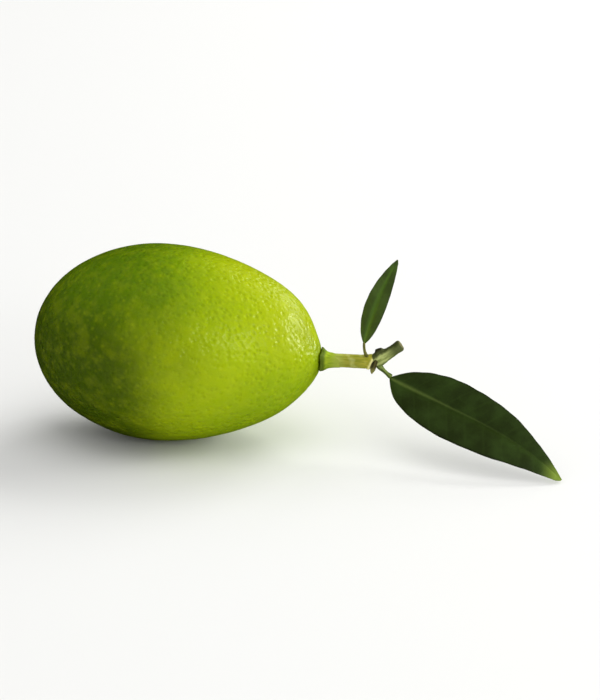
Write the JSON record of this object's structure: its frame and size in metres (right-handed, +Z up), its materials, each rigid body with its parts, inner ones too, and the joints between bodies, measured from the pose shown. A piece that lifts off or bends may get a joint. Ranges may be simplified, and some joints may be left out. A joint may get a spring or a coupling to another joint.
{
  "type": "limequat",
  "caption": "Whole oval limequat lying on its side with its calyx, short stalk, snipped twig end, bud and leaves.",
  "frame": {"origin": "middle of the small flat where the fruit's skin presses on the surface it lies on", "axes": "+Z up, +X from the fruit towards its stalk and twig, -Y the side on which the larger leaf hangs down"},
  "size_m": [0.0928, 0.034, 0.0339],
  "materials": {
    "peel": "satin",
    "calyx_green": "matte",
    "stalk_olive": "satin",
    "twig_bark": "matte",
    "bud_brown": "matte",
    "petiole_green": "satin",
    "leaf_dark": "satin",
    "leaf_young": "satin"
  },
  "bodies": {
    "root": {"fruit": "peel", "calyx": "calyx_green", "fruit_stem": "stalk_olive", "twig": "twig_bark", "axillary_bud": "bud_brown", "lower_petiole": "petiole_green", "lower_leaf": "leaf_dark", "upper_petiole": "petiole_green", "upper_leaf": "leaf_young"}
  },
  "joints": []
}
